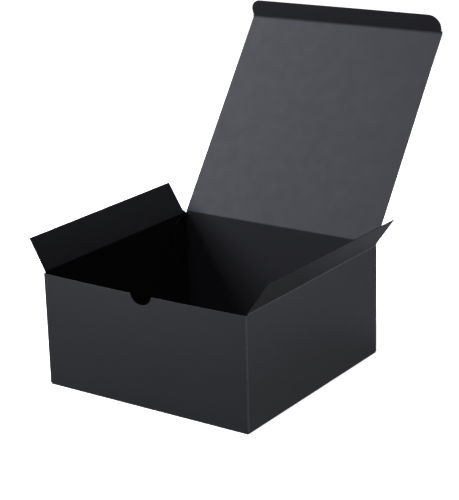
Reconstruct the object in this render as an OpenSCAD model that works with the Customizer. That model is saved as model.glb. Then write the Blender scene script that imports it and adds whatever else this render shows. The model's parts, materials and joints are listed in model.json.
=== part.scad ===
// One-piece folding-carton gift box with a thumb notch, two dust flaps, a hinged lid with a tuck flap
// and a snap-lock bottom. The origin is at the middle of the base, on the surface the box stands on.
// +Z is up, the front wall faces -Y and the lid is hinged on the back wall.

/* [Box] */
// Width of the box over its side walls
box_w = 203.2; // [120:0.2:300]
// Depth of the box over its front and back walls
box_d = 203.2; // [120:0.2:300]
// Height of the closed box
box_h = 101.6; // [60:0.2:200]

/* [Board] */
// Thickness of the paperboard
board_t = 0.5; // [0.3:0.05:0.8]
// Clearance round a crease's bead, for the flap that turns on it
turn_gap = 0.05; // [0.02:0.01:0.1]
// Gap left between layers that pass each other
layer_gap = 0.3; // [0.2:0.05:0.6]

/* [Front wall] */
// Radius of the round thumb notch
notch_r = 10.6; // [6:0.2:16]
// Height of the notch's centre above the wall's top edge
notch_rise = 1; // [0:0.25:3]

/* [Lid] */
// How far each side of the lid stops short of the box's side
lid_side_gap = 0.9; // [0.5:0.1:3]
// Angle that the lid stands open, counted from closed
lid_open = 126.3; // [60:0.1:180]

/* [Tuck flap] */
// Depth of the tuck flap, from its crease to its free edge
tuck_h = 18; // [15:0.5:40]
// Distance from the front wall's outer face to the tuck crease when the lid is closed
tuck_setback = 1.0; // [0.9:0.1:2]
// How far each end of the tuck flap stops short of the lid's side
tuck_end_gap = 0.4; // [0.2:0.1:3]
// Radius of the tuck flap's round corners
tuck_corner_r = 11; // [4:0.5:12]
// Length of the narrow neck beside the tuck crease
tuck_neck_h = 3; // [1:0.5:4]
// How much narrower the neck is at each end
tuck_neck_in = 0.7; // [0.3:0.1:2]
// Angle that the tuck flap is bent in from the lid
tuck_bend = 57; // [20:1:60]

/* [Dust flaps] */
// Depth of a dust flap, from its crease to its free edge
dust_h = 31.5; // [20:0.5:45]
// Distance from the front wall's outer face to the front end of the crease
dust_front_gap = 2.2; // [2:0.1:6]
// How far the free edge's front corner is set back from the crease's front end
dust_front_taper = 4; // [1:0.5:12]
// Distance from the back wall's outer face to the back end of the crease
dust_back_gap = 1.5; // [1.2:0.1:4]
// Depth of the short slope at the back end of the crease
dust_relief_h = 3; // [2:0.5:6]
// How far that slope cuts in
dust_relief_in = 2; // [1:0.5:6]
// How far the free edge's back corner reaches back out past that slope
dust_back_flare = 2.3; // [0:0.1:2.5]
// Angle that the left dust flap leans out from upright
left_dust_lean = 36; // [0:1:60]
// Angle that the right dust flap leans out from upright
right_dust_lean = 34; // [0:1:60]

/* [Glued seam] */
// Width of the glue tab
tab_w = 18; // [12:0.5:25]
// How much shorter the tab's free edge is at each end
tab_taper = 5; // [2:0.5:8]
// Gap between the tab's ends and the folds above and below it
tab_end_gap = 1.5; // [1.5:0.5:5]
// Thickness of the dried glue
glue_t = 0.1; // [0.05:0.05:0.2]
// Margin of bare board round the glue
glue_margin = 2; // [1:0.5:4]
// Distance from the back wall's outer face to the left wall's cut edge
seam_setback = 0.8; // [0.6:0.1:1.5]

/* [Snap-lock bottom] */
// Width of the front flap's locking tongue
tongue_w = 72; // [40:1:80]
// Length of the tongue past the front flap's shoulders
tongue_l = 50; // [40:1:55]
// Radius of the tongue's corners
tongue_corner_r = 12; // [4:1:18]
// Gap on each side of the tongue, in the notch and between the side flaps
tongue_gap = 1; // [0.5:0.5:3]
// How far the front flap's shoulders reach past the middle of the box
shoulder_past = 6; // [3:1:12]
// How far the back flap's ears overlap the front flap's shoulders
ear_overlap = 14; // [6:1:24]
// Length of the tongue's rise from under the back flap to over it
tongue_rise_l = 22; // [16:1:30]
// How much each end of a bottom flap is set in at its free edge
bottom_taper = 3; // [1:0.5:6]
// Gap between a bottom flap's end and the fold beside it
bottom_end_gap = 1.5; // [1:0.5:3]

/* [Hidden] */
$fn = 64;

half_w = box_w / 2;
half_d = box_d / 2;
// Outer radius of a fold that stays folded, and radius of the bead that a flap turns on
fold_r = 2 * board_t;
bead_r = board_t;
// Overshoot of a cutting shape past the board it cuts
cut_over = 1;
// Smallest clearance where the bent tuck flap passes the front wall's top edge
tuck_clear = 0.1;

// Height of the lid's hinge axis, which is in the middle of the closed lid's thickness
lid_z = box_h - board_t / 2;
// Y place of the lid's hinge axis, in the middle of the back wall's thickness
lid_axis_y = half_d - board_t / 2;
lid_w = box_w - 2 * lid_side_gap;
// Distance between the lid's two creases
lid_l = lid_axis_y + half_d - tuck_setback;
// Height of the dust flaps' hinge axes: their beads clear the closed lid
dust_z = lid_z - board_t / 2 - bead_r - layer_gap;
// X place of the right dust flap's hinge axis, in the middle of the right wall's thickness
dust_x = half_w - board_t / 2;
dust_front_y = -half_d + dust_front_gap;
dust_back_y = half_d - dust_back_gap;
// The front wall stops below the closed lid, where the tuck flap at rest passes over its edge
front_top = lid_z - tuck_setback * tan(tuck_bend) - board_t / 2 / cos(tuck_bend) - tuck_clear;
// The seam's tab lies inside the left wall, one board and the glue in from its outer face
seam_in = board_t + glue_t;
// Underside of each layer of the bottom: front flap, side flaps, back flap, and the tongue over them
front_layer = 0;
side_layer = board_t;
back_layer = 2 * board_t;
tongue_layer = 3 * board_t;
// Where the glue tab starts and stops
tab_bottom = back_layer + fold_r + tab_end_gap;
tab_top = dust_z - bead_r - tab_end_gap;

board_black = "#34363b";
inner_black = "#46484e";
crease_black = "#55575d";
glue_white = "#d8d4c4";

// Board that stands with its faces towards +X and -X, from an outline of [y, z] points
module board_facing_x(outline) {
    rotate([90, 0, 90]) linear_extrude(board_t, center = true) polygon(outline);
}

// Board that lies flat on its underside, from an outline of [x, y] points
module board_flat(outline) {
    linear_extrude(board_t) polygon(outline);
}

// Quarter-round fold of board, of the given length, round the Z axis from +X to +Y
module fold(len) {
    rotate_extrude(angle = 90) translate([fold_r - board_t, 0]) square([board_t, len]);
}

// Bead along the Y axis, from y0 to y1
module bead_along_y(y0, y1, r) {
    translate([0, y0, 0]) rotate([-90, 0, 0]) cylinder(r = r, h = y1 - y0);
}

// Bead along the X axis, of the given length about its middle
module bead_along_x(len, r) {
    rotate([0, 90, 0]) cylinder(r = r, h = len, center = true);
}

// Wall across the box, from x0 to x1 and z0 to z1, with its front face at y
module cross_wall(x0, x1, z0, z1, y) {
    translate([x0, y, z0]) cube([x1 - x0, board_t, z1 - z0]);
}

// Side wall on the right, from y0 to y1, with a trough along its top for the dust flap's bead
module side_wall(y0, y1) {
    bottom = side_layer + fold_r;
    difference() {
        translate([half_w - board_t, y0, bottom]) cube([board_t, y1 - y0, dust_z - bottom]);
        translate([dust_x, 0, dust_z]) bead_along_y(dust_front_y, dust_back_y, bead_r);
    }
}

// Dust flap of the right wall, leaning out by the given angle
module dust_flap(lean) {
    outline = [
        [dust_front_y, 0],
        [dust_back_y, 0],
        [dust_back_y - dust_relief_in, dust_relief_h],
        [dust_back_y - dust_relief_in + dust_back_flare, dust_h],
        [dust_front_y + dust_front_taper, dust_h]
    ];
    translate([dust_x, 0, dust_z]) rotate([0, lean, 0]) difference() {
        board_facing_x(outline);
        bead_along_y(dust_front_y - cut_over, dust_back_y + cut_over, bead_r + turn_gap);
    }
}

// Bead that the right wall's dust flap turns on
module dust_crease() {
    translate([dust_x, 0, dust_z]) bead_along_y(dust_front_y, dust_back_y, bead_r);
}

// Bottom flap of the right wall: mitred at the front, clear of the tongue at its free edge
module side_bottom_flap() {
    root_x = half_w - fold_r;
    free_x = tongue_w / 2 + tongue_gap + board_t;
    front_y = -half_d + fold_r + bottom_end_gap;
    back_y = half_d - fold_r - bottom_end_gap;
    outline = [
        [root_x, front_y],
        [root_x, back_y],
        [free_x, back_y - bottom_taper],
        [free_x, front_y + root_x - free_x]
    ];
    translate([0, 0, side_layer]) board_flat(outline);
}

// Fold between the right wall and its bottom flap
module side_bottom_fold() {
    len = box_d - 2 * (fold_r + bottom_end_gap);
    translate([half_w - fold_r, -len / 2, side_layer + fold_r]) rotate([-90, 0, 0]) fold(len);
}

// Fold between the back wall and a bottom flap, at the given layer
module cross_bottom_fold(layer) {
    len = box_w - 2 * (fold_r + bottom_end_gap);
    translate([-len / 2, half_d - fold_r, layer + fold_r]) rotate([0, 90, 0]) fold(len);
}

// Everything that turns with the lid, drawn closed with the hinge axis at the origin
module lid_at_rest() {
    translate([0, lid_axis_y, lid_z]) rotate([-lid_open, 0, 0]) children();
}

module front_wall() {
    color(board_black) difference() {
        cross_wall(-half_w + fold_r, half_w - fold_r, front_layer + fold_r, front_top, -half_d);
        translate([0, -half_d + board_t / 2, front_top + notch_rise]) rotate([90, 0, 0])
            cylinder(r = notch_r, h = board_t + 2 * cut_over, center = true);
    }
}

module back_wall() {
    color(inner_black) difference() {
        cross_wall(-half_w + seam_in + fold_r, half_w - fold_r, back_layer + fold_r, lid_z,
            half_d - board_t);
        translate([0, lid_axis_y, lid_z]) bead_along_x(box_w, bead_r);
    }
}

module right_wall() {
    color(board_black) side_wall(-half_d + fold_r, half_d - fold_r);
}

module left_wall() {
    color(board_black) mirror([1, 0, 0]) side_wall(-half_d + fold_r, half_d - seam_setback);
}

// Outline of the glue tab as [y, z] points, drawn in by a margin
function tab_outline(margin) = let (
    root_y = half_d - fold_r - margin,
    free_y = half_d - fold_r - tab_w + margin
) [
    [root_y, tab_bottom + margin],
    [root_y, tab_top - margin],
    [free_y, tab_top - tab_taper - margin],
    [free_y, tab_bottom + tab_taper + margin]
];

module glue_tab() {
    color(inner_black) translate([-half_w + seam_in + board_t / 2, 0, 0]) board_facing_x(tab_outline(0));
}

module glue_line() {
    color(glue_white) translate([-half_w + board_t, 0, 0]) rotate([90, 0, 90])
        linear_extrude(glue_t) polygon(tab_outline(glue_margin));
}

module front_right_crease() {
    color(crease_black) translate([half_w - fold_r, -half_d + fold_r, side_layer + fold_r])
        rotate([0, 0, -90]) fold(front_top - side_layer - fold_r);
}

module front_left_crease() {
    mirror([1, 0, 0]) front_right_crease();
}

module back_right_crease() {
    color(crease_black) translate([half_w - fold_r, half_d - fold_r, back_layer + fold_r])
        fold(dust_z - back_layer - fold_r);
}

module seam_crease() {
    color(crease_black) translate([-half_w + seam_in + fold_r, half_d - fold_r, tab_bottom])
        rotate([0, 0, 90]) fold(tab_top - tab_bottom);
}

module bottom_right_flap() {
    color(inner_black) side_bottom_flap();
}

module bottom_left_flap() {
    color(inner_black) mirror([1, 0, 0]) side_bottom_flap();
}

// Back flap: its two ears pass either side of the notch that takes the tongue
module bottom_back_flap() {
    root_y = half_d - fold_r;
    ear_y = shoulder_past - ear_overlap;
    notch_y = shoulder_past + tongue_rise_l + tongue_gap;
    root_x = half_w - fold_r - bottom_end_gap;
    notch_x = tongue_w / 2 + tongue_gap;
    color(inner_black) translate([0, 0, back_layer]) difference() {
        board_flat([
            [-root_x, root_y],
            [root_x, root_y],
            [root_x - bottom_taper, ear_y],
            [-root_x + bottom_taper, ear_y]
        ]);
        translate([-notch_x, ear_y - cut_over, -cut_over])
            cube([2 * notch_x, notch_y - ear_y + cut_over, board_t + 2 * cut_over]);
    }
}

// Front flap: flat out to its shoulders, then its tongue rises through the notch and lies on the back flap
module bottom_front_flap() {
    root_y = -half_d + fold_r;
    root_x = half_w - fold_r - bottom_end_gap;
    rise_y = shoulder_past + tongue_rise_l;
    tip_y = shoulder_past + tongue_l;
    color(board_black) {
        board_flat([
            [-root_x, root_y],
            [root_x, root_y],
            [root_x - bottom_taper, shoulder_past],
            [-root_x + bottom_taper, shoulder_past]
        ]);
        rotate([90, 0, 90]) linear_extrude(tongue_w, center = true) polygon([
            [shoulder_past, front_layer],
            [rise_y, tongue_layer],
            [tip_y - tongue_corner_r, tongue_layer],
            [tip_y - tongue_corner_r, tongue_layer + board_t],
            [rise_y, tongue_layer + board_t],
            [shoulder_past, front_layer + board_t]
        ]);
        translate([0, tip_y - tongue_corner_r, tongue_layer]) tongue_tip();
    }
}

// Far end of the tongue, with its round corners
module tongue_tip() {
    flat_w = tongue_w - 2 * tongue_corner_r;
    translate([-flat_w / 2, 0, 0]) cube([flat_w, tongue_corner_r, board_t]);
    for (side = [-1, 1]) intersection() {
        translate([side * flat_w / 2, 0, 0]) cylinder(r = tongue_corner_r, h = board_t);
        translate([-tongue_w / 2, 0, 0]) cube([tongue_w, tongue_corner_r, board_t]);
    }
}

module bottom_back_crease() {
    color(crease_black) cross_bottom_fold(back_layer);
}

module bottom_front_crease() {
    color(crease_black) mirror([0, 1, 0]) cross_bottom_fold(front_layer);
}

module bottom_right_crease() {
    color(crease_black) side_bottom_fold();
}

module bottom_left_crease() {
    color(crease_black) mirror([1, 0, 0]) side_bottom_fold();
}

// The lid's bead belongs to the box, so the panel turns round it with a clearance
module lid_panel() {
    color(inner_black) lid_at_rest() difference() {
        translate([-lid_w / 2, -lid_l, -board_t / 2]) cube([lid_w, lid_l, board_t]);
        bead_along_x(box_w, bead_r + turn_gap);
        translate([0, -lid_l, 0]) bead_along_x(box_w, bead_r);
    }
}

module lid_crease() {
    color(crease_black) lid_at_rest() bead_along_x(lid_w, bead_r);
}

module tuck_crease() {
    color(crease_black) lid_at_rest() translate([0, -lid_l, 0]) bead_along_x(lid_w, bead_r);
}

// Tuck flap, drawn with its crease at the origin and its free edge towards -Y
module tuck_outline() {
    tuck_w = lid_w - 2 * tuck_end_gap;
    neck_w = tuck_w - 2 * tuck_neck_in;
    tip_w = tuck_w - 2 * tuck_corner_r;
    straight_h = tuck_h - tuck_corner_r;
    translate([-neck_w / 2, -straight_h]) square([neck_w, straight_h]);
    translate([-tuck_w / 2, -straight_h]) square([tuck_w, straight_h - tuck_neck_h]);
    translate([-tip_w / 2, -tuck_h]) square([tip_w, tuck_h]);
    intersection() {
        for (side = [-1, 1]) translate([side * tip_w / 2, -straight_h]) circle(r = tuck_corner_r);
        translate([-tuck_w / 2, -tuck_h]) square([tuck_w, tuck_h]);
    }
}

module tuck_flap() {
    color(board_black) lid_at_rest() translate([0, -lid_l, 0]) rotate([tuck_bend, 0, 0]) difference() {
        linear_extrude(board_t, center = true) tuck_outline();
        bead_along_x(box_w, bead_r + turn_gap);
    }
}

module right_dust_flap() {
    color(inner_black) dust_flap(right_dust_lean);
}

module left_dust_flap() {
    color(inner_black) mirror([1, 0, 0]) dust_flap(left_dust_lean);
}

module right_dust_crease() {
    color(crease_black) dust_crease();
}

module left_dust_crease() {
    color(crease_black) mirror([1, 0, 0]) dust_crease();
}

front_wall();
right_wall();
back_wall();
left_wall();
glue_tab();
glue_line();
front_left_crease();
front_right_crease();
back_right_crease();
seam_crease();
bottom_back_flap();
bottom_left_flap();
bottom_right_flap();
bottom_front_flap();
bottom_front_crease();
bottom_left_crease();
bottom_right_crease();
bottom_back_crease();
lid_panel();
lid_crease();
tuck_flap();
tuck_crease();
left_dust_flap();
left_dust_crease();
right_dust_flap();
right_dust_crease();
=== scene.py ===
# %% [markdown]
# # A gift box from one sheet of paperboard
# The box is a folding carton: one die-cut sheet, printed black, folded along scored lines and glued
# at one corner. This lesson dresses its measured frame. The frame gives each panel's place and each
# hinge, and the cells below give every panel real board: a coated face, a bare face, a cut edge,
# rounded scored folds, and the slight bows that board takes once it is folded.

# %% Load the frame
import json
import math
import bmesh
import bpy
from mathutils import Matrix, Vector
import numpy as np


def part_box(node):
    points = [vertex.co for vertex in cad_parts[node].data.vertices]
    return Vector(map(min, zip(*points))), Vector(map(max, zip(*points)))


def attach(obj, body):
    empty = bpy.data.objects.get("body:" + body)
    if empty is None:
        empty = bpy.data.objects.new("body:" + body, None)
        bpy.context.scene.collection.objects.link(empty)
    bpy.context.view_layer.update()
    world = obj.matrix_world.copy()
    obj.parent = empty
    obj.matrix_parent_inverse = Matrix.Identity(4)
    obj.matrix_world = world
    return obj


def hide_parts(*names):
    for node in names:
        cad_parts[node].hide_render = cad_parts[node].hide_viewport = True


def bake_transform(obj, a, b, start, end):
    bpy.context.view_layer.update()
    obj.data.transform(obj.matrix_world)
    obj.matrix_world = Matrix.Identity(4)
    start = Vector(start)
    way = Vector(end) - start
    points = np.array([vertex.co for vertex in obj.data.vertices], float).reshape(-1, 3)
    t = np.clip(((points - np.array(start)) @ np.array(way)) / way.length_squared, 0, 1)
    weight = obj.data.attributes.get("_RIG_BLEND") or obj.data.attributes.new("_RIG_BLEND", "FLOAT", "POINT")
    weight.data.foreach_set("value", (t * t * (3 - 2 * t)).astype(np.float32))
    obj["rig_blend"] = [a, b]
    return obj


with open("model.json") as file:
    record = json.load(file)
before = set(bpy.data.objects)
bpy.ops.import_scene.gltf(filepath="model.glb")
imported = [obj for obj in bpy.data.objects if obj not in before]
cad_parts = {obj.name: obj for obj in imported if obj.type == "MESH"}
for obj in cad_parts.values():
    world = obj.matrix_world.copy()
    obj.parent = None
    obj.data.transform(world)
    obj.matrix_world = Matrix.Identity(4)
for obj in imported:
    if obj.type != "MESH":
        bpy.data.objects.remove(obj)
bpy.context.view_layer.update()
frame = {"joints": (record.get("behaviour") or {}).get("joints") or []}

# %% [markdown]
# ## Colours and nodes
# Print colours are chosen as sRGB hex values, but shaders work in linear light, so one function turns
# one into the other. Every node tree below, for shapes and for finishes, is built with one more small
# function, which adds a node, sets its options and fills its inputs with values or with links.

# %% Colour and node helpers
MM = 0.001


def linear(hex_colour):
    """A colour for a shader, from an sRGB hex value."""
    parts = [int(hex_colour[i:i + 2], 16) / 255 for i in (1, 3, 5)]
    return [p / 12.92 if p <= 0.04045 else ((p + 0.055) / 1.055) ** 2.4 for p in parts] + [1.0]


def add(tree, kind, inputs=(), **options):
    """Adds a node. Inputs are named or numbered, and each takes a value or another node's output."""
    made = tree.nodes.new(kind)
    for name, value in options.items():
        setattr(made, name, value)
    for key, value in dict(inputs).items():
        if isinstance(value, bpy.types.NodeSocket):
            tree.links.new(value, made.inputs[key])
        else:
            made.inputs[key].default_value = value
    return made


# %% [markdown]
# ## The board's finishes
# The sheet is solid paperboard, dyed black right through. Its outer face is printed and sealed with a
# matt varnish, which fills the fibres and leaves a soft, even sheen. Its inner face is bare, so it is
# rougher and a little cloudy where the fibres lie thicker or thinner. The knife leaves a cut edge that
# shows torn fibres. Clouds are about a centimetre across, and each pattern's scale is worked out from
# such a size. Real fibres are only about 0.03 mm wide, too fine to show, so they are drawn coarser: as
# clumps 0.45 mm wide on the faces and 0.15 mm wide on the cut edge.

# %% A new material with its shader, and the patterns that go into it
FIBRE = 0.45 * MM
TORN_FIBRE = 0.15 * MM
CLOUD = 11 * MM


def new_material(name, **surface):
    """A material with one Principled shader. The keywords are its inputs, with _ for a space."""
    made = bpy.data.materials.new(name)
    made.use_nodes = True
    tree = made.node_tree
    tree.nodes.clear()
    shader = add(tree, "ShaderNodeBsdfPrincipled",
                 {key.replace("_", " "): value for key, value in surface.items()})
    add(tree, "ShaderNodeOutputMaterial", {"Surface": shader.outputs[0]})
    return made, tree, shader


FINE_SHARE = 0.55


def spots(tree, size, detail=2.0):
    """Soft noise whose spots are about the given size, in the piece's own space."""
    place = add(tree, "ShaderNodeTexCoord").outputs["Object"]
    return add(tree, "ShaderNodeTexNoise", {"Vector": place, "Scale": 1 / size, "Detail": detail,
                                            "Roughness": FINE_SHARE}).outputs["Fac"]


def span(tree, value, low, high, start=0.3, stop=0.7):
    """The value's stretch from start to stop, moved to low to high."""
    return add(tree, "ShaderNodeMapRange", {"Value": value, "From Min": start, "From Max": stop,
                                            "To Min": low, "To Max": high}).outputs[0]


def mix(tree, factor, first, second, **how):
    """The first colour where the factor is 0 and the second where it is 1."""
    return add(tree, "ShaderNodeMix", {0: factor, 6: first, 7: second}, data_type="RGBA",
               **how).outputs[2]


def relief(tree, shader, height, depth, strength=0.5):
    """Lets a pattern's hills catch the light."""
    bump = add(tree, "ShaderNodeBump", {"Height": height, "Distance": depth, "Strength": strength})
    tree.links.new(bump.outputs[0], shader.inputs["Normal"])


# %% Varnished face, bare face and cut edge
PAPER_IOR = 1.5
FIBRE_TONE, CLOUD_ROUGHNESS = 0.07, 0.02


def paperboard(name, light, dark, rough, fibre_height, specular):
    """Black paperboard: two close tones in clouds, and a fibre relief that catches the light."""
    made, tree, shader = new_material(name, IOR=PAPER_IOR, Specular_IOR_Level=specular)
    clouds, fibres = spots(tree, CLOUD, 3), spots(tree, FIBRE, 3)
    tone = mix(tree, span(tree, clouds, 0, 1), linear(dark), linear(light))
    fibre_tone = span(tree, fibres, 1 - FIBRE_TONE, 1 + FIBRE_TONE)
    tone = mix(tree, 1.0, tone, fibre_tone, blend_type="MULTIPLY")
    tree.links.new(tone, shader.inputs["Base Color"])
    tree.links.new(span(tree, clouds, rough + CLOUD_ROUGHNESS, rough - CLOUD_ROUGHNESS),
                   shader.inputs["Roughness"])
    relief(tree, shader, fibres, fibre_height)
    return made


varnished = paperboard("matt_varnished_paperboard", "#202125", "#1f2024", rough=0.50,
                       fibre_height=0.012 * MM, specular=0.80)
bare = paperboard("bare_dyed_paperboard", "#28282b", "#272729", rough=0.68,
                  fibre_height=0.03 * MM, specular=0.22)


def cut_paperboard():
    """The knife's edge, where torn fibres show as pale and dark specks."""
    made, tree, shader = new_material("die_cut_paperboard_edge", IOR=PAPER_IOR, Roughness=0.8,
                                      Specular_IOR_Level=0.3)
    torn = spots(tree, TORN_FIBRE)
    tone = mix(tree, span(tree, torn, 0, 1), linear("#202023"), linear("#343438"))
    tree.links.new(tone, shader.inputs["Base Color"])
    relief(tree, shader, torn, 0.03 * MM)
    return made


cut_edge = cut_paperboard()
print("board finishes:", varnished.name, bare.name, cut_edge.name)

# %% [markdown]
# ## The finish on a fold
# A score is pressed into the sheet with a blunt steel rule. Folding stretches the varnish there, so the
# ridge is polished by handling and shows a little of the paler fibre under it. The ridge is also made
# lighter than that wear alone, as a painted highlight along the fold. The swept folds below carry an
# attribute called wear_and_highlight, which is 1 on the ridge, so the finish can be lighter there and
# nowhere else. Small breaks in it keep the line from looking drawn.

# %% Scored and folded board
RIDGE_BREAK = 1.6 * MM


def scored_paperboard():
    """Varnish that is paler and shinier along the ridge, in broken patches: partly worn fibre, partly a
    painted highlight.
    """
    made, tree, shader = new_material("scored_paperboard_fold", IOR=PAPER_IOR,
                                      Specular_IOR_Level=0.8)
    wear_and_highlight = add(tree, "ShaderNodeAttribute", attribute_name="wear_and_highlight").outputs["Fac"]
    breaks = span(tree, spots(tree, RIDGE_BREAK, 4), 0.45, 1.0)
    pale_ridge = add(tree, "ShaderNodeMath", {0: wear_and_highlight, 1: breaks}, operation="MULTIPLY").outputs[0]
    # Pale ridge colour: partly worn varnish, partly a painted highlight along the fold.
    tree.links.new(mix(tree, pale_ridge, linear("#1e1f23"), linear("#73747b")),
                   shader.inputs["Base Color"])
    tree.links.new(span(tree, pale_ridge, 0.52, 0.42, 0, 1), shader.inputs["Roughness"])
    relief(tree, shader, spots(tree, FIBRE, 3), 0.015 * MM)
    return made


scored = scored_paperboard()
print("fold finish:", scored.name)

# %% [markdown]
# ## A rule for every panel
# Each wall and flap is the same thing: a flat die-cut outline, given a bow and then a thickness. That
# is a rule, so one Geometry Nodes tree makes them all, and the panels differ only in their outline and
# in the tree's inputs. The outline comes in as a flat grid. Two numbers ride on its points: across,
# from -1 to 1, and along, from 0 at the fold that holds the panel to 1 at its far edge. The tree bends
# the grid by them, pulls it out into board, and gives the two faces and the cut edge their finishes.

# %% Helpers for shape trees
def new_tree(name, inputs):
    """A Geometry Nodes tree with one shape going in and out, and named inputs of its own."""
    tree = bpy.data.node_groups.new(name, "GeometryNodeTree")
    tree.interface.new_socket("Geometry", in_out="INPUT", socket_type="NodeSocketGeometry")
    tree.interface.new_socket("Geometry", in_out="OUTPUT", socket_type="NodeSocketGeometry")
    for label, kind in inputs.items():
        tree.interface.new_socket(label, in_out="INPUT", socket_type="NodeSocket" + kind)
    return tree, add(tree, "NodeGroupInput").outputs


def reckon(tree, *steps):
    """A chain of sums. Each step is an operation and its inputs, and "last" is the step before."""
    last = None
    for operation, *values in steps:
        values = [last if value == "last" else value for value in values]
        last = add(tree, "ShaderNodeMath", dict(enumerate(values)), operation=operation).outputs[0]
    return last


def named(tree, label, kind="FLOAT"):
    """An attribute that rides on the shape."""
    return add(tree, "GeometryNodeInputNamedAttribute", {"Name": label}, data_type=kind).outputs[0]


def marked(tree, shape, label, value):
    """The shape, with a true or false mark stored on its faces."""
    return add(tree, "GeometryNodeStoreNamedAttribute",
               {"Geometry": shape, "Name": label, "Value": value},
               data_type="BOOLEAN", domain="FACE").outputs[0]


# %% The panel tree
WELD = 0.001 * MM


def make_panel_tree():
    """Bows a flat grid, pulls it out into board, and gives its faces and edge their finishes."""
    tree, given = new_tree("board_panel", {
        "Thickness": "Float", "Bow at far edge": "Float", "Bow in middle": "Float",
        "Twist": "Float", "Outer": "Material", "Inner": "Material", "Edge": "Material"})
    across, along = named(tree, "across"), named(tree, "along")
    far = reckon(tree, ("POWER", along, 1.5), ("MULTIPLY", "last", given["Bow at far edge"]))
    middle = reckon(tree, ("SUBTRACT", 1.0, along), ("MULTIPLY", "last", along),
                    ("MULTIPLY", "last", 4.0), ("MULTIPLY", "last", given["Bow in middle"]))
    bow = reckon(tree, ("MULTIPLY", across, across), ("SUBTRACT", 1.0, "last"),
                 ("MULTIPLY", "last", reckon(tree, ("ADD", far, middle))))
    twist = reckon(tree, ("MULTIPLY", across, along), ("MULTIPLY", "last", given["Twist"]))
    height = reckon(tree, ("MULTIPLY", given["Thickness"], -0.5), ("ADD", "last", bow),
                    ("ADD", "last", twist))
    lift = add(tree, "ShaderNodeCombineXYZ", {"Z": height}).outputs[0]
    sheet = add(tree, "GeometryNodeSetPosition", {"Geometry": given["Geometry"],
                                                  "Offset": lift}).outputs[0]
    board = add(tree, "GeometryNodeExtrudeMesh", {
        "Mesh": sheet, "Offset Scale": given["Thickness"], "Individual": False})
    outer = marked(tree, board.outputs["Mesh"], "is_outer", board.outputs["Top"])
    inner = marked(tree, add(tree, "GeometryNodeFlipFaces", {"Mesh": sheet}).outputs[0],
                   "is_inner", True)
    both = add(tree, "GeometryNodeJoinGeometry", {"Geometry": outer})
    tree.links.new(inner, both.inputs["Geometry"])
    sealed = add(tree, "GeometryNodeMergeByDistance", {"Geometry": both.outputs[0],
                                                       "Distance": WELD}).outputs[0]
    shape = add(tree, "GeometryNodeRealizeInstances", {"Geometry": sealed}).outputs[0]
    for label, where in (("Edge", None), ("Outer", "is_outer"), ("Inner", "is_inner")):
        finish = {"Geometry": shape, "Material": given[label]}
        if where:
            finish["Selection"] = named(tree, where, "BOOLEAN")
        shape = add(tree, "GeometryNodeSetMaterial", finish).outputs[0]
    add(tree, "NodeGroupOutput", {"Geometry": shape})
    return tree


board_panel = make_panel_tree()
print(board_panel.name, "has", len(board_panel.nodes), "nodes")

# %% [markdown]
# ## From tree to finished piece
# A modifier's inputs are set by each socket's identifier before the piece is first evaluated. The
# evaluated shape becomes a plain mesh, the modifier goes, and the mesh is moved to its place on the
# box, so the object itself stays at the origin, unturned. Faces meet smoothly where they are nearly
# level and sharply where they are not.

# %% Grow a piece
SMOOTH_BELOW = math.radians(32)


def grow(name, seed, tree, sizes, place):
    """Runs the tree on the seed mesh, and keeps the result as a plain mesh in its place."""
    piece = bpy.data.objects.new(name, seed)
    bpy.context.scene.collection.objects.link(piece)
    grower = piece.modifiers.new("grow", "NODES")
    grower.node_group = tree
    for item in tree.interface.items_tree:
        if item.in_out == "INPUT" and item.name in sizes:
            grower[item.identifier] = sizes[item.name]
    view = bpy.context.evaluated_depsgraph_get()
    shape = bpy.data.meshes.new_from_object(piece.evaluated_get(view))
    piece.modifiers.remove(grower)
    piece.data = shape
    shape.name = name
    shape.transform(place)
    shape.shade_smooth()
    shape.set_sharp_from_angle(angle=SMOOTH_BELOW)
    return piece


def placed(origin, first, second):
    """A place on the box: its origin, its first two axes, and the third square to them."""
    first, second = Vector(first), Vector(second)
    turn = Matrix((first, second, first.cross(second))).transposed()
    return Matrix.Translation(origin) @ turn.to_4x4()


# %% [markdown]
# ## The flat outline
# A cutter's outline could be filled with a few large faces, but board that bows needs points inside it
# too. So each outline is a grid of columns and rows, and a small function says where each crossing of
# the grid lies. Cells that the die cuts away are left out. Points on a cut edge, and not on a fold,
# are marked, so that only true cut edges get a soft arris. Its normals are hardened, which keeps the
# flat faces beside it evenly shaded.

# %% Build an outline, and finish a panel from it
ARRIS = 0.04 * MM


def outline(name, columns, rows, where, folds=(), keep=lambda column, row: True):
    """A flat grid. folds names the sides (start, end, low, high) that join the rest of the sheet."""
    wide, tall = len(columns), len(rows)
    points = [Vector((*where(c, r), 0.0)[:3]) for r in rows for c in columns]
    faces = [(j * wide + i, j * wide + i + 1, (j + 1) * wide + i + 1, (j + 1) * wide + i)
             for j in range(tall - 1) for i in range(wide - 1)
             if keep((columns[i] + columns[i + 1]) / 2, (rows[j] + rows[j + 1]) / 2)]
    joins = {"start": lambda i, j: i == 0, "end": lambda i, j: i == wide - 1,
             "low": lambda i, j: j == 0, "high": lambda i, j: j == tall - 1}
    used = sorted({corner for face in faces for corner in face})
    number = {old: new for new, old in enumerate(used)}
    mesh = bpy.data.meshes.new(name)
    mesh.from_pydata([points[k] for k in used], [], [[number[k] for k in f] for f in faces])
    xs, ys = [points[k].x for k in used], [points[k].y for k in used]
    middle, half = (max(xs) + min(xs)) / 2, (max(xs) - min(xs)) / 2
    marks = {"across": [(x - middle) / half for x in xs],
             "along": [(y - min(ys)) / (max(ys) - min(ys)) for y in ys],
             "cut": [0.0 if any(joins[s](k % wide, k // wide) for s in folds) else 1.0
                     for k in used]}
    for label, values in marks.items():
        mesh.attributes.new(label, "FLOAT", "POINT").data.foreach_set("value", values)
    return mesh


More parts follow.
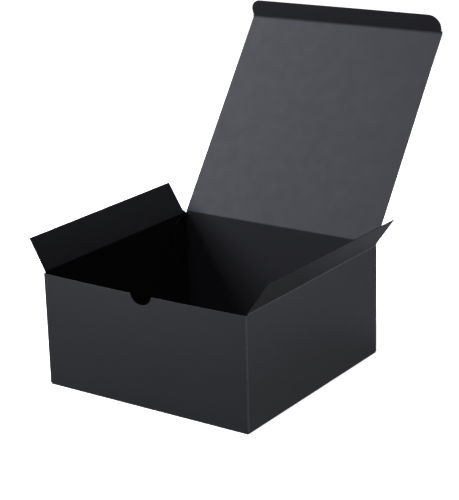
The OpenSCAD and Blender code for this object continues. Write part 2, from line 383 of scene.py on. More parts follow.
def soften_cut_edges(piece):
    """A fine arris along the edges that the die cut, and none where a panel meets its fold."""
    mesh = piece.data
    work = bmesh.new()
    work.from_mesh(mesh)
    cut = work.verts.layers.float["cut"]
    weight = work.edges.layers.float.new("bevel_weight_edge")
    for edge in work.edges:
        if len(edge.link_faces) == 2 and edge.calc_face_angle() > 2 * SMOOTH_BELOW:
            edge[weight] = min(vertex[cut] for vertex in edge.verts)
    work.to_mesh(mesh)
    work.free()
    arris = piece.modifiers.new("arris", "BEVEL")
    arris.limit_method, arris.width, arris.segments = "WEIGHT", ARRIS, 2
    arris.harden_normals = True


def panel(name, flat, place, body, slot, node, far=0.0, middle=0.0, twist=0.0):
    """A finished panel of board that stands for one node of the frame."""
    piece = grow(name, flat, board_panel, {
        "Thickness": BOARD, "Bow at far edge": far, "Bow in middle": middle, "Twist": twist,
        "Outer": varnished, "Inner": bare, "Edge": cut_edge}, place)
    soften_cut_edges(piece)
    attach(piece, body)
    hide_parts(node)
    print(f"{name}: {len(piece.data.polygons)} faces")
    return piece


def steps(start, stop, count):
    """Evenly spaced numbers, both ends included."""
    return [start + (stop - start) * k / count for k in range(count + 1)]


# %% [markdown]
# ## Sizes taken from the frame
# The board's thickness, the corners' mid-lines and the hinges' axes all come from the frame's boxes, so
# the pieces fit it with nothing measured twice. A hinge bead's middle is its axis. The joints' limits
# say how far each flap stands from its closed place. Only the reach of each fold is chosen here.

# %% Read the frame
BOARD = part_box("front_wall")[1].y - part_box("front_wall")[0].y
# Corner folds: how far the round starts from the corner, and the straight tail past it
FOLD = 1.5 * BOARD
TAIL = 0.6 * MM
# Hinge creases: how far they go to each side of their axis before a panel starts
REACH = 1.2 * MM
TUCK_REACH = 2.2 * MM


def axis(node):
    """The middle of a hinge bead, which is on the hinge's axis."""
    low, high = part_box(node)
    return (low + high) / 2


lid_axis, tuck_axis = axis("lid_crease"), axis("tuck_crease")
dust_axis = {"left": axis("left_dust_crease"), "right": axis("right_dust_crease")}
closed_by = {joint["name"]: math.radians(-joint["range_deg"][0]) for joint in frame["joints"]}
print("board", round(BOARD / MM, 3), "mm; lid stands open",
      round(math.degrees(closed_by["lid_hinge"]), 1), "degrees")

# %% [markdown]
# ## Four walls
# Each wall is a plain rectangle, except the front one, whose top edge has a round notch for a thumb.
# Nothing holds that edge, so it dips a little in the middle. It doesn't bulge outwards, because the
# tuck flap passes close by it as the lid closes. All four walls swell slightly in the middle, as folded
# board does.

# %% Walls
NOTCH_R = 10.6 * MM
NOTCH_RISE = 1.0 * MM
FRONT_DIP = 1.0 * MM
WALL_SWELL = 0.5 * MM
WALL_COLUMNS, WALL_ROWS, NOTCH_STEPS = 40, 24, 36

X, Y, Z = Vector((1, 0, 0)), Vector((0, 1, 0)), Vector((0, 0, 1))


def front_drop(x):
    """How far the thumb notch and the dip take the top edge down, at a distance from its middle."""
    dip = FRONT_DIP * (1 - (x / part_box("front_wall")[1].x) ** 2)
    return max(dip, math.sqrt(max(0.0, NOTCH_R ** 2 - x ** 2)) - NOTCH_RISE)


def wall(node, across, top, edge_drop=lambda x: 0.0, extra=(), **bow):
    """A wall from its node's box, drawn short of the folds that it joins."""
    low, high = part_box(node)
    half = abs((high - low).dot(across)) / 2 - TAIL
    base = Vector(((low.x + high.x) / 2, (low.y + high.y) / 2, low.z + TAIL))
    height = top - base.z
    columns = sorted({*steps(-half, half, WALL_COLUMNS), *extra})
    flat = outline(node, columns, steps(0, 1, WALL_ROWS),
                   lambda x, t: (x, t * (height - edge_drop(x))), ("start", "end", "low"))
    return panel(node + "_board", flat, placed(base, across, Z), "box", "outer_board", node, **bow)


notch_turn = math.acos(NOTCH_RISE / NOTCH_R)
notch_columns = [NOTCH_R * math.sin(turn) for turn in steps(-notch_turn, notch_turn, NOTCH_STEPS)]
front_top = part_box("front_wall")[1].z
dust_top = dust_axis["right"].z - REACH
wall("front_wall", X, front_top, front_drop, notch_columns, middle=WALL_SWELL)
wall("right_wall", Y, dust_top, middle=WALL_SWELL)
wall("back_wall", -X, lid_axis.z - REACH, middle=WALL_SWELL)
wall("left_wall", -Y, dust_top, middle=WALL_SWELL)

# %% [markdown]
# ## Flaps
# The lid is a rectangle between its two creases. The tuck flap is narrower, with a short neck beside its
# crease and two large round corners that guide it in behind the front wall. Each dust flap tapers in
# front, and is relieved beside the back end of its crease, so that it clears the corners and the lid.
# Free board never stays dead flat: the lid and the tuck flap take a slight bow, and the dust flaps a
# slight twist.

# %% Lid and tuck flap
LID_BOW, TUCK_BOW = 0.8 * MM, 0.3 * MM
TUCK_H, TUCK_R, TUCK_NECK, TUCK_NECK_IN = 18 * MM, 11 * MM, 3 * MM, 0.7 * MM
TUCK_END_GAP = 0.4 * MM
NECK_SLOPE = 4
LID_CELLS, TUCK_COLUMNS, TUCK_ROUND_ROWS = 40, 60, 20

opened, bent = closed_by["lid_hinge"], closed_by["tuck_hinge"]
lid_way = Vector((0, -math.cos(opened), math.sin(opened)))
lid_in = Vector((0, -math.sin(opened), -math.cos(opened)))
tuck_way = lid_way * math.cos(bent) + lid_in * math.sin(bent)
lid_half = (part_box("lid_panel")[1].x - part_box("lid_panel")[0].x) / 2
lid_length = (tuck_axis - lid_axis).length
lid_flat = outline("lid", steps(-lid_half, lid_half, LID_CELLS),
                   steps(REACH, lid_length - TUCK_REACH, LID_CELLS), lambda x, y: (x, y),
                   ("low", "high"))
panel("lid_board", lid_flat, placed(lid_axis, -X, lid_way), "lid", "inner_board", "lid_panel",
      middle=LID_BOW)


def tuck_half(y):
    """Half the tuck flap's width at a distance from its crease."""
    half = lid_half - TUCK_END_GAP
    neck = half - TUCK_NECK_IN
    straight = TUCK_H - TUCK_R
    if y < TUCK_NECK:
        return neck
    if y < straight:
        return min(half, neck + (y - TUCK_NECK) * NECK_SLOPE)
    return half - TUCK_R + math.sqrt(max(0.0, TUCK_R ** 2 - (y - straight) ** 2))


tuck_rows = sorted({TUCK_REACH, TUCK_NECK, TUCK_NECK + TUCK_NECK_IN / NECK_SLOPE,
                    *[TUCK_H - TUCK_R + TUCK_R * math.sin(turn)
                      for turn in steps(0, math.pi / 2, TUCK_ROUND_ROWS)]})
tuck_flat = outline("tuck", steps(-1, 1, TUCK_COLUMNS), tuck_rows,
                    lambda s, y: (s * tuck_half(y), y), ("low",))
panel("tuck_flap_board", tuck_flat, placed(tuck_axis, -X, tuck_way), "tuck", "outer_board",
      "tuck_flap", far=TUCK_BOW)

# %% Dust flaps
DUST_H, DUST_FRONT_TAPER = 31.5 * MM, 4 * MM
DUST_RELIEF_H, DUST_RELIEF_IN, DUST_BACK_FLARE = 3 * MM, 2 * MM, 2.3 * MM
DUST_TWIST = {"left": 0.4 * MM, "right": 0.45 * MM}
DUST_COLUMNS, DUST_ROWS = 50, 12


def dust_ends(v, crease_half):
    """The front and back ends of a dust flap at a distance from its crease, along its crease."""
    front = -crease_half + DUST_FRONT_TAPER * v / DUST_H
    past = max(0.0, v - DUST_RELIEF_H) / (DUST_H - DUST_RELIEF_H)
    back = crease_half - DUST_RELIEF_IN * min(1.0, v / DUST_RELIEF_H) + DUST_BACK_FLARE * past
    return front, back


def dust_flap(side, sign):
    """A dust flap. sign is -1 on the left and 1 on the right."""
    node = side + "_dust_flap"
    low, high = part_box(side + "_dust_crease")
    half = (high.y - low.y) / 2
    lean = closed_by[side + "_dust_hinge"] - math.pi / 2
    way = Vector((sign * math.sin(lean), 0, math.cos(lean)))

    def where(s, v):
        """s goes from -1 to 1 along the crease, and v is the distance from it."""
        front, back = dust_ends(v, half)
        return sign * (front + (back - front) * (sign * s + 1) / 2), v

    rows = sorted({DUST_RELIEF_H, *steps(REACH, DUST_H, DUST_ROWS)})
    flat = outline(node, steps(-1, 1, DUST_COLUMNS), rows, where, ("low",))
    panel(node + "_board", flat, placed(dust_axis[side], sign * Y, way), side + "_dust",
          "inner_board", node, twist=DUST_TWIST[side])


dust_flap("left", -1)
dust_flap("right", 1)

# %% [markdown]
# ## The snap-lock bottom
# Four flaps close the bottom. The front one lies underneath. The two side ones lie on it, mitred where
# they would meet its tongue, and the back one lies on those. The front flap's tongue then rises through
# the back flap's notch and lies on top, which locks all four. Each flap is one board higher than the
# last, and their outer faces look down. The gaps between them are kept as fine as a good die cuts them,
# so the flaps' ends reach a little further into the corners than the frame's.

# %% Bottom flaps
BOTTOM_TAPER = 3 * MM
TONGUE_HALF, TONGUE_LONG, TONGUE_R, TONGUE_GAP = 36 * MM, 50 * MM, 12 * MM, 0.3 * MM
TONGUE_RISE = 22 * MM
END_REACH = 1.1 * MM
END_COLUMNS, MIDDLE_COLUMNS, ROOT_ROWS = 8, 16, 12
TONGUE_ROWS, TONGUE_ROUND_ROWS, NOTCH_ROWS = 16, 10, 8
SIDE_COLUMNS, SIDE_ROWS = 30, 14


def bottom_panel(node, flat, origin, across, along):
    """A bottom flap in its place. Only the front one shows its outer face below."""
    slot = "outer_board" if node == "bottom_front_flap" else "inner_board"
    panel(node + "_board", flat, placed(origin, across, along), "box", slot, node)


def ease(t):
    """0 before 0, 1 after 1, and a smooth rise between."""
    t = min(1.0, max(0.0, t))
    return t * t * (3 - 2 * t)


low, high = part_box("bottom_front_flap")
front_root, front_half = low.y, high.x + END_REACH
shoulder = high.y - TONGUE_LONG - front_root
tongue_tip = high.y - front_root
tongue_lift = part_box("bottom_front_flap")[1].z - BOARD


def front_flap_point(x, y):
    """Outside the tongue the ends taper. The tongue rises past the shoulders and rounds off."""
    inset = BOTTOM_TAPER * y / shoulder
    if abs(x) > TONGUE_HALF:
        share = (abs(x) - TONGUE_HALF) / (front_half - TONGUE_HALF)
        x = math.copysign(TONGUE_HALF + share * (front_half - inset - TONGUE_HALF), x)
    past = max(0.0, y - tongue_tip + TONGUE_R)
    round_off = TONGUE_R - math.sqrt(max(0.0, TONGUE_R ** 2 - past ** 2))
    x *= 1 - round_off / TONGUE_HALF if abs(x) <= TONGUE_HALF else 1
    return x, y, -tongue_lift * ease((y - shoulder) / TONGUE_RISE)


def parted(half, middle_half):
    """Columns for a flap in three parts: two ends, and a middle for the tongue or its notch."""
    return sorted({*steps(-half, -middle_half, END_COLUMNS),
                   *steps(-middle_half, middle_half, MIDDLE_COLUMNS),
                   *steps(middle_half, half, END_COLUMNS)})


front_columns = parted(front_half, TONGUE_HALF)
front_rows = sorted({*steps(TAIL, shoulder, ROOT_ROWS),
                     *steps(shoulder, tongue_tip - TONGUE_R, TONGUE_ROWS),
                     *[tongue_tip - TONGUE_R * (1 - math.sin(turn))
                       for turn in steps(0, math.pi / 2, TONGUE_ROUND_ROWS)]})
front_flat = outline("bottom_front", front_columns, front_rows, front_flap_point, ("low",),
                     keep=lambda x, y: y < shoulder or abs(x) < TONGUE_HALF)
bottom_panel("bottom_front_flap", front_flat, (0, front_root, low.z + BOARD / 2), -X, Y)

low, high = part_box("bottom_back_flap")
back_root, back_half = high.y, high.x + END_REACH
back_long = high.y - low.y
notch_from = back_root - (front_root + shoulder + TONGUE_RISE + TONGUE_GAP)
notch_half = TONGUE_HALF + TONGUE_GAP


def back_flap_point(x, y):
    """The ends taper, and the notch's sides stay square to the crease."""
    inset = BOTTOM_TAPER * y / back_long
    if abs(x) > notch_half:
        share = (abs(x) - notch_half) / (back_half - notch_half)
        x = math.copysign(notch_half + share * (back_half - inset - notch_half), x)
    return x, y


back_columns = parted(back_half, notch_half)
back_rows = sorted({*steps(TAIL, notch_from, ROOT_ROWS), *steps(notch_from, back_long, NOTCH_ROWS)})
back_flat = outline("bottom_back", back_columns, back_rows, back_flap_point, ("low",),
                    keep=lambda x, y: y < notch_from or abs(x) > notch_half)
bottom_panel("bottom_back_flap", back_flat, (0, back_root, low.z + BOARD / 2), X, -Y)

for side, sign in (("left", -1), ("right", 1)):
    node = f"bottom_{side}_flap"
    low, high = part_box(node)
    root_x = max(abs(low.x), abs(high.x))
    long = root_x - TONGUE_HALF - TONGUE_GAP
    centre_z, root_half = (low.z + high.z) / 2, high.y + END_REACH

    def side_flap_point(s, v, sign=sign, long=long, root_half=root_half):
        """Mitred at 45 degrees towards the front, and tapered at the back."""
        ends = -root_half + v, root_half - BOTTOM_TAPER * v / long
        y = ends[0] + (ends[1] - ends[0]) * (1 - sign * s) / 2
        return -sign * y, v

    flat = outline(node, steps(-1, 1, SIDE_COLUMNS), steps(TAIL, long, SIDE_ROWS), side_flap_point,
                   ("low",))
    bottom_panel(node, flat, (sign * root_x, 0, centre_z), -sign * Y, -sign * X)

# %% [markdown]
# ## The glued seam
# The back wall ends in a narrow tab, folded round the corner and glued inside the left wall. Cartons are
# glued with a row of small drops, pressed flat when the box is folded. A row is a repeat, so a tree sets
# one flattened drop on points along a line, with a fixed seed for its small changes of size.

# %% Glue tab
TAB_TAPER = 5 * MM
TAB_COLUMNS, TAB_ROWS = 30, 8
low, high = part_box("glue_tab")
tab_half, tab_long = (high.z - low.z) / 2, high.y - low.y
tab_flat = outline("tab", steps(-1, 1, TAB_COLUMNS), steps(TAIL, tab_long, TAB_ROWS),
                   lambda s, v: (s * (tab_half - TAB_TAPER * v / tab_long), v), ("low",))
panel("glue_tab_board", tab_flat,
      placed(((low.x + high.x) / 2, high.y, (low.z + high.z) / 2), -Z, -Y), "box", "inner_board",
      "glue_tab")


# %% Glue drops
GLUE_BUBBLE = 0.8 * MM


def make_drops_tree():
    """Sets the drop on evenly spaced points of a line, each at a size of its own."""
    tree, given = new_tree("glue_drops", {"From": "Vector", "To": "Vector", "Count": "Int",
                                          "Seed": "Int", "Finish": "Material"})
    line = add(tree, "GeometryNodeCurvePrimitiveLine", {"Start": given["From"], "End": given["To"]})
    row = add(tree, "GeometryNodeResampleCurve", {"Curve": line.outputs[0], "Count": given["Count"]})
    size = add(tree, "FunctionNodeRandomValue", {"Min": (0.85, 0.85, 1.0), "Max": (1.1, 1.1, 1.0),
                                                 "Seed": given["Seed"]}, data_type="FLOAT_VECTOR")
    drops = add(tree, "GeometryNodeInstanceOnPoints", {
        "Points": row.outputs[0], "Instance": given["Geometry"], "Scale": size.outputs[0]})
    real = add(tree, "GeometryNodeRealizeInstances", {"Geometry": drops.outputs[0]})
    done = add(tree, "GeometryNodeSetMaterial", {"Geometry": real.outputs[0],
                                                 "Material": given["Finish"]})
    add(tree, "NodeGroupOutput", {"Geometry": done.outputs[0]})
    return tree


def dried_glue():
    """White carton glue, dried clear and glossy, with a few trapped bubbles."""
    made, tree, shader = new_material("dried_white_glue", IOR=1.48, Specular_IOR_Level=0.5)
    bubbles = spots(tree, GLUE_BUBBLE, 3)
    tree.links.new(mix(tree, span(tree, bubbles, 0, 1), linear("#cfcabb"), linear("#e0dccf")),
                   shader.inputs["Base Color"])
    tree.links.new(span(tree, bubbles, 0.25, 0.4), shader.inputs["Roughness"])
    relief(tree, shader, bubbles, 0.05 * MM)
    return made


def pressed_drop(radius, thick, around=20):
    """A drop pressed between two boards: flat on both sides, with a rounded rim."""
    rim = [(0.86, 0.5), (0.95, 0.38), (1.0, 0.0), (0.95, -0.38), (0.86, -0.5)]
    turns = [k * math.tau / around for k in range(around)]
    points = [(radius * r * math.cos(turn), radius * r * math.sin(turn), thick * h)
              for r, h in rim for turn in turns]
    points += [(0, 0, thick / 2), (0, 0, -thick / 2)]
    top, bottom = len(points) - 2, len(points) - 1
    last = (len(rim) - 1) * around
    faces = [(j * around + k, (j + 1) * around + k, (j + 1) * around + (k + 1) % around,
              j * around + (k + 1) % around) for j in range(len(rim) - 1) for k in range(around)]
    faces += [(top, k, (k + 1) % around) for k in range(around)]
    faces += [(bottom, last + (k + 1) % around, last + k) for k in range(around)]
    mesh = bpy.data.meshes.new("drop")
    mesh.from_pydata(points, [], faces)
    return mesh


DROP_R, DROP_COUNT, DROP_SEED = 4.4 * MM, 8, 5
low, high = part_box("glue_line")
middle = (low + high) / 2
run = (high.z - low.z) / 2 - 2 * DROP_R
drops = grow("glue_drops", pressed_drop(DROP_R, high.x - low.x), make_drops_tree(), {
    "From": (-run, 0, 0), "To": (run, 0, 0), "Count": DROP_COUNT, "Seed": DROP_SEED,
    "Finish": dried_glue()}, placed(middle, Z, Y))
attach(drops, "box")
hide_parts("glue_line")
print("glue drops:", DROP_COUNT)

# %% [markdown]
# ## Folds and creases
# A fold is the same section of board carried along a straight line, so a second tree sweeps one. The
# section is drawn as a closed loop: a short straight tail, a round bend, and a tail again. The scoring
# rule leaves its trace in it, as a shallow groove on the outer face and a bead on the inner one. The
# tree can also nick the crease at a steady pitch, as cartoners do where a flap has to turn easily.

# %% The fold tree
WAVES_PER_METRE = 60.0
CAP_FACING = 0.9


def make_fold_tree():
    """Sweeps a section along +Z, makes its ridge waver, nicks it, and finishes its faces."""
    tree, given = new_tree("swept_fold", {
        "Length": "Float", "Steps": "Int", "Waviness": "Float", "Nick pitch": "Float",
        "Nick share": "Float", "Nick depth": "Float", "Seed": "Float", "Outer": "Material",
        "Inner": "Material", "Edge": "Material"})
    section = add(tree, "GeometryNodeMeshToCurve", {"Mesh": given["Geometry"]}).outputs[0]
    end = add(tree, "ShaderNodeCombineXYZ", {"Z": given["Length"]}).outputs[0]
    line = add(tree, "GeometryNodeCurvePrimitiveLine", {"End": end}).outputs[0]
    path = add(tree, "GeometryNodeResampleCurve", {"Curve": line, "Count": given["Steps"]}).outputs[0]
    swept = add(tree, "GeometryNodeCurveToMesh", {"Curve": path, "Profile Curve": section,
                                                  "Fill Caps": True}).outputs[0]
    here = add(tree, "GeometryNodeInputPosition").outputs[0]
    height = add(tree, "ShaderNodeSeparateXYZ", {0: here}).outputs["Z"]
    along = reckon(tree, ("MULTIPLY", height, WAVES_PER_METRE), ("ADD", "last", given["Seed"]))
    noise = add(tree, "ShaderNodeTexNoise", {"W": along, "Scale": 1.0},
                noise_dimensions="1D").outputs["Fac"]
    wave = reckon(tree, ("SUBTRACT", noise, 0.5), ("MULTIPLY", "last", 2.0),
                  ("MULTIPLY", "last", given["Waviness"]))
    nick = reckon(tree, ("DIVIDE", height, given["Nick pitch"]), ("FRACT", "last"),
                  ("LESS_THAN", "last", given["Nick share"]),
                  ("MULTIPLY", "last", given["Nick depth"]))
    push = reckon(tree, ("SUBTRACT", wave, nick), ("MULTIPLY", "last", named(tree, "ridge")))
    normal = add(tree, "GeometryNodeInputNormal").outputs[0]
    shift = add(tree, "ShaderNodeVectorMath", {0: normal, "Scale": push},
                operation="SCALE").outputs[0]
    moved = add(tree, "GeometryNodeSetPosition", {"Geometry": swept, "Offset": shift}).outputs[0]
    shape = add(tree, "GeometryNodeRealizeInstances", {"Geometry": moved}).outputs[0]
    facing = add(tree, "ShaderNodeSeparateXYZ", {0: normal}).outputs["Z"]
    cap = reckon(tree, ("ABSOLUTE", facing), ("GREATER_THAN", "last", CAP_FACING))
    inside = reckon(tree, ("GREATER_THAN", named(tree, "inside"), 0.5))
    for label, where in (("Outer", None), ("Inner", inside), ("Edge", cap)):
        finish = {"Geometry": shape, "Material": given[label]}
        if where:
            finish["Selection"] = where
        shape = add(tree, "GeometryNodeSetMaterial", finish).outputs[0]
    add(tree, "NodeGroupOutput", {"Geometry": shape})
    return tree


swept_fold = make_fold_tree()
print(swept_fold.name, "has", len(swept_fold.nodes), "nodes")


# %% Draw a fold's section
RIDGE_WIDTH, BEAD_WIDTH, GROOVE_WIDTH = 0.65 * MM, 0.4 * MM, 0.28 * MM
ROUND_STEPS, TAIL_STEPS = 14, 3


def bell(distance, width):
    """1 at no distance, falling smoothly to 0."""
    return math.exp(-(distance / width) ** 2)


def section(bend, corner, reach, bead, groove, groove_at):
    """A loop round the board's section. It comes along +X, turns by bend at the origin (positive towards
    the outer face, +Y), and leaves. corner is how far from the origin the round starts, and reach how
    far the section goes."""
    side = math.copysign(1.0, bend)
    radius = corner / math.tan(abs(bend) / 2)
    line = [(Vector((-d, 0)), 0.0, -d) for d in steps(reach, corner, TAIL_STEPS)[:-1]]
    half_arc = radius * abs(bend) / 2
    for turn in steps(0, abs(bend), ROUND_STEPS):
        line.append((Vector((-corner + radius * math.sin(turn), side * radius * (1 - math.cos(turn)))),
                     turn * side, radius * turn - half_arc))
    out = Vector((math.cos(bend), math.sin(bend)))
    line += [(out * d, bend, half_arc + d - corner)
             for d in steps(corner, reach, TAIL_STEPS)[1:]]
    outer, inner = [], []
    for point, turned, s in line:
        up = Vector((-math.sin(turned), math.cos(turned)))
        sunk = groove * max(bell(s - groove_at, GROOVE_WIDTH), bell(s + groove_at, GROOVE_WIDTH))
        outer.append((point + up * (BOARD / 2 - sunk), bell(s, RIDGE_WIDTH)))
        inner.append((point - up * (BOARD / 2 + bead * bell(s, BEAD_WIDTH)), 0.0))
    loop = outer + inner[::-1]
    mesh = bpy.data.meshes.new("section")
    mesh.from_pydata([(p.x, p.y, 0) for p, _ in loop],
                     [(k, (k + 1) % len(loop)) for k in range(len(loop))], [])
    ridge = [height for _, height in loop]
    # This ridge mark also sets where the fold finish paints its pale ridge: partly wear, partly a painted
    # highlight.
    marks = {"ridge": ridge, "wear_and_highlight": ridge, "inside": [0.0] * len(outer) + [1.0] * len(inner)}
    for label, values in marks.items():
        mesh.attributes.new(label, "FLOAT", "POINT").data.foreach_set("value", values)
    return mesh


RIDGE_WAVE = 0.03 * MM
NICK_SHARE = 0.5


def fold(name, node, shape, place, length, pitch=1.0, nicks=0.0, step=3 * MM):
    """One swept fold that stands for a node, with its faces turned outwards. Its name's length seeds
    its waver, so that unlike folds waver differently. pitch, nicks and step are the nicks' spacing and
    depth, and the distance between sections."""
    piece = grow(name, shape, swept_fold, {
        "Length": length, "Steps": int(length / step) + 2, "Waviness": RIDGE_WAVE,
        "Nick pitch": pitch, "Nick share": NICK_SHARE, "Nick depth": nicks,
        "Seed": float(len(name)), "Outer": scored, "Inner": bare, "Edge": cut_edge}, place)
    work = bmesh.new()
    work.from_mesh(piece.data)
    bmesh.ops.remove_doubles(work, verts=work.verts, dist=WELD)
    bmesh.ops.recalc_face_normals(work, faces=work.faces)
    work.to_mesh(piece.data)
    work.free()
    piece.data.set_sharp_from_angle(angle=SMOOTH_BELOW)
    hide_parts(node)
    print(f"{name}: {round(length / MM, 1)} mm, {len(piece.data.polygons)} faces")
    return piece


# %% [markdown]
# ## Corners and bottom folds
# The four upright corners and the four bottom edges stay folded at a right angle. Their bend is one and
# a half boards in radius along its middle, with a bead squeezed out inside, and a faint dip on each side
# of the ridge where the rule's shoulders pressed.

# %% Right-angled folds
corner_section = dict(bend=-math.pi / 2, corner=FOLD, reach=FOLD + TAIL, bead=0.2 * MM,
                      groove=0.05 * MM, groove_at=0.85 * MM)


def right_angle(node, corner, way, outward, length):
    """A fold centred on a point where two mid-lines meet. way is the direction of the panel before the
    fold, and outward is the way that its outer face looks."""
    start = corner - way.cross(outward) * length / 2
    piece = fold(node.replace("crease", "fold"), node, section(**corner_section),
                 placed(start, way, outward), length)
    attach(piece, "box")


side_x, back_y = dust_axis["right"].x, lid_axis.y
front_y = axis("front_wall").y
for node, x, y, way, outward, top in (
        ("front_right_crease", side_x, front_y, X, -Y, front_top),
        ("front_left_crease", -side_x, front_y, -Y, -X, front_top),
        ("back_right_crease", side_x, back_y, Y, X, dust_top),
        ("seam_crease", axis("glue_tab").x, back_y, -X, Y, lid_axis.z - REACH)):
    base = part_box(node)[0].z
    right_angle(node, Vector((x, y, (base + top) / 2)), way, outward, top - base)

for node, outward, face in (("bottom_front_crease", -Y, -front_y), ("bottom_right_crease", X, side_x),
                            ("bottom_back_crease", Y, back_y), ("bottom_left_crease", -X, side_x)):
    low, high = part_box(node)
    right_angle(node, outward * face + Z * (low.z + BOARD / 2), -Z, outward,
                max(high.x - low.x, high.y - low.y) + 2 * END_REACH)

# %% [markdown]
# ## Creases that turn
# A flap's crease belongs to two bodies at once: its lower tail stays with the wall and its upper tail
# goes with the flap. The blend call turns the points between them smoothly about the hinge, so the board
# stays whole at every angle. The tuck flap's crease has a wider round, and is nicked every few
# millimetres, because that flap is folded most.

# %% Hinge creases
HINGE_ROUND = 0.9 * MM
NICK_PITCH, NICK_DEPTH = 4.2 * MM, 0.16 * MM
TUCK_ROUND = 1.8 * MM
NICK_STEP = 0.7 * MM
hinge_section = dict(bead=0.05 * MM, groove=0.12 * MM, groove_at=0.0)


def hinge(node, bend, way, outward, bodies, corner=HINGE_ROUND, reach=REACH, **nicks):
    """A crease that bends between two bodies. way and outward belong to the first body's panel."""
    low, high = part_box(node)
    run = way.cross(outward)
    length = abs((high - low).dot(run))
    start = axis(node) - run * length / 2
    piece = fold(node + "_bend", node, section(bend, corner, reach, **hinge_section),
                 placed(start, way, outward), length, **nicks)
    out = way * math.cos(bend) + outward * math.sin(bend)
    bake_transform(piece, *bodies, start=axis(node) - way * reach, end=axis(node) + out * reach)


hinge("lid_crease", opened - math.pi / 2, Z, Y, ("box", "lid"))
hinge("tuck_crease", -bent, lid_way, -lid_in, ("lid", "tuck"), TUCK_ROUND, TUCK_REACH,
      pitch=NICK_PITCH, nicks=NICK_DEPTH, step=NICK_STEP)
for side, outward in (("left", -X), ("right", X)):
    lean = closed_by[side + "_dust_hinge"] - math.pi / 2
    hinge(side + "_dust_crease", lean, Z, outward, ("box", side + "_dust"))

# %% [markdown]
# ## The studio
# The box stands on a pale table that is lit from inside, so that it stays clean and shadowless. A black
# box is mostly shaped by what it reflects, and so much white under it would wash its walls out. So the
# table shows itself to the camera only, and the light that it would send up comes from the lower half
# of the world instead, where it can be set by itself. A dark card lies just under the table's surface,
# round the box's foot. It is painted shade, which stands for the shade that the box casts on the table
# there. It gives back very little, so the walls darken towards the bottom. The camera doesn't see it, and
# its faint glow stands for the light that the table would send past it.

# %% Floor
FLOOR_R, FLOOR_SIDES = 12.0, 48
OPAL_CLOUD = 0.4


def stage_sheet(name, points, finish):
    """A flat stage piece with one face, which isn't part of the box."""
    mesh = bpy.data.meshes.new(name)
    mesh.from_pydata(points, [], [list(range(len(points)))])
    mesh.materials.append(finish)
    sheet = bpy.data.objects.new(name, mesh)
    bpy.context.scene.collection.objects.link(sheet)
    return sheet


acrylic, tree, shader = new_material("backlit_opal_acrylic", Roughness=0.9, Specular_IOR_Level=0.1,
                                     Emission_Strength=1.0)
opal = span(tree, spots(tree, OPAL_CLOUD), 0, 1)
for tint in ("Base Color", "Emission Color"):
    tree.links.new(mix(tree, opal, linear("#fbfbfb"), linear("#ffffff")), shader.inputs[tint])
floor_turns = [k * math.tau / FLOOR_SIDES for k in range(FLOOR_SIDES)]
floor = stage_sheet("floor", [(FLOOR_R * math.cos(turn), FLOOR_R * math.sin(turn), 0.0)
                              for turn in floor_turns], acrylic)
floor.visible_diffuse = floor.visible_glossy = floor.visible_shadow = False
print("table:", FLOOR_R, "m in radius")

# %% A dark card under the table's surface, painted shade for the table round the box
(CARD_LEFT, CARD_FRONT), (CARD_RIGHT, CARD_BACK) = (-0.20, -0.21), (0.22, 0.13)
CARD_Z = -0.001
CARD_MOTTLE = 2 * MM
# Painted shade: a near-black sheet, seen only in reflections and bounce light, that stands for the shade
# that the box casts on the table round its foot.
shade_card_finish, tree, shader = new_material("painted_table_shade", Roughness=1.0, Specular_IOR_Level=0.0,
                                   Emission_Color=linear("#ffffff"), Emission_Strength=0.11)
tree.links.new(mix(tree, span(tree, spots(tree, CARD_MOTTLE), 0, 1), linear("#0a0a0a"), linear("#0e0e0e")),
               shader.inputs["Base Color"])
card = stage_sheet("table_shade_card", [(CARD_LEFT, CARD_FRONT, CARD_Z), (CARD_RIGHT, CARD_FRONT, CARD_Z),
                                  (CARD_RIGHT, CARD_BACK, CARD_Z), (CARD_LEFT, CARD_BACK, CARD_Z)],
                   shade_card_finish)
card.visible_camera = card.visible_shadow = False
print("card:", round(CARD_RIGHT - CARD_LEFT, 2), "by", round(CARD_BACK - CARD_FRONT, 2), "m")

# %% [markdown]
# ## The light from below
# The world's upper half is black, so the lamps alone light the box from above. Below the horizon it
# brightens smoothly to the strength of the table's light, and it is a little stronger behind the box
# than in front. The camera sees plain white instead, past the table's edge.

# %% World
UNDERLIGHT, UNDERLIGHT_FULL_AT = 0.27, -0.35
UNDERLIGHT_IN_FRONT, UNDERLIGHT_BEHIND = 0.75, 1.25
world = bpy.data.worlds.new("studio")
bpy.context.scene.world = world
world.use_nodes = True
room = world.node_tree
room.nodes.clear()
outlook = add(room, "ShaderNodeSeparateXYZ",
              {0: add(room, "ShaderNodeTexCoord").outputs["Generated"]}).outputs
below = span(room, outlook["Z"], UNDERLIGHT, 0.0, UNDERLIGHT_FULL_AT, 0.0)
tilt = span(room, outlook["Y"], UNDERLIGHT_IN_FRONT, UNDERLIGHT_BEHIND, -1.0, 1.0)
below = add(room, "ShaderNodeMath", {0: below, 1: tilt}, operation="MULTIPLY").outputs[0]
glow = add(room, "ShaderNodeBackground", {"Color": linear("#f1f3ff"), "Strength": below})
backdrop = add(room, "ShaderNodeBackground", {"Color": linear("#ffffff"), "Strength": 1.0})
seen = add(room, "ShaderNodeLightPath").outputs["Is Camera Ray"]
chosen = add(room, "ShaderNodeMixShader", {0: seen, 1: glow.outputs[0], 2: backdrop.outputs[0]})
add(room, "ShaderNodeOutputWorld", {"Surface": chosen.outputs[0]})
print("light from below:", UNDERLIGHT)

# %% [markdown]
# ## Soft lights
# The main light is a broad one, high on the left: it falls full on the lid's inner face, and only
# grazes the left flap's, which stays dark. A weak one overhead lifts the folds' top edges, a low one in
# front on the left lays a soft sheen on the front wall, and a wide, low one on the right catches the
# right wall and the underside of the right flap. The last one stands behind the box, for whoever walks
# round it.

# %% Lights
LIGHT_COLOUR = linear("#f3f5ff")[:3]
MIDDLE = Vector((0.0, 0.0, 0.1))
SOFTBOX, STRIP = (0.6, 0.6), (0.6, 0.2)


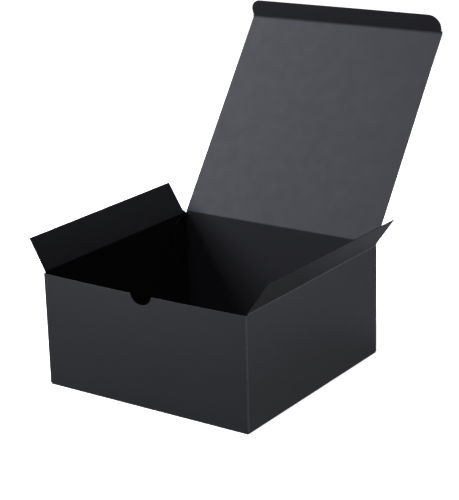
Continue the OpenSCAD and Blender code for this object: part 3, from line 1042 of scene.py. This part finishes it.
def soft_light(name, place, size, power):
    """A soft light that looks at the box's middle. Its size is in metres and its power in watts."""
    lamp = bpy.data.lights.new(name, "AREA")
    lamp.shape, lamp.size, lamp.size_y = "RECTANGLE", *size
    lamp.energy, lamp.color = power, LIGHT_COLOUR
    holder = bpy.data.objects.new(name, lamp)
    holder.location = place
    holder.rotation_euler = (MIDDLE - Vector(place)).to_track_quat("-Z", "Y").to_euler()
    bpy.context.scene.collection.objects.link(holder)
    print(f"{name}: {power} W")


soft_light("key", (-0.92, -0.26, 0.88), SOFTBOX, 33)
soft_light("overhead", (0.0, -0.5, 1.3), SOFTBOX, 4.5)
soft_light("low_front", (-0.58, -1.16, 0.14), SOFTBOX, 2.2)
soft_light("low_right", (1.1, 0.35, 0.10), STRIP, 3.6)
soft_light("behind", (-0.35, 1.30, 0.45), SOFTBOX, 6)

# %% [markdown]
# ## The camera
# The camera stands to the right of the front corner and looks down a little, through a long lens, which
# keeps the upright edges nearly parallel.

# %% Camera
CAMERA_PLACE = Vector((0.7531, -1.0585, 0.5293))
AZIMUTH, ELEVATION, ROLL = (math.radians(a) for a in (34.81, 18.00, -1.54))
LENS, SENSOR, NEAREST, FURTHEST = 116.17, 36.0, 0.05, 100.0
back = Vector((math.sin(AZIMUTH) * math.cos(ELEVATION), -math.cos(AZIMUTH) * math.cos(ELEVATION),
               math.sin(ELEVATION)))
right = (-back).cross(Z).normalized()
up = right.cross(-back)
tilted = right * math.cos(ROLL) + up * math.sin(ROLL)
lens = bpy.data.cameras.new("camera")
lens.lens, lens.sensor_width = LENS, SENSOR
lens.clip_start, lens.clip_end = NEAREST, FURTHEST
camera = bpy.data.objects.new("camera", lens)
camera.matrix_world = (Matrix.Translation(CAMERA_PLACE)
                       @ Matrix((tilted, back.cross(tilted), back)).transposed().to_4x4())
bpy.context.scene.collection.objects.link(camera)
bpy.context.scene.camera = camera
bpy.context.scene.view_settings.view_transform = "Standard"
print("lens:", LENS, "mm")
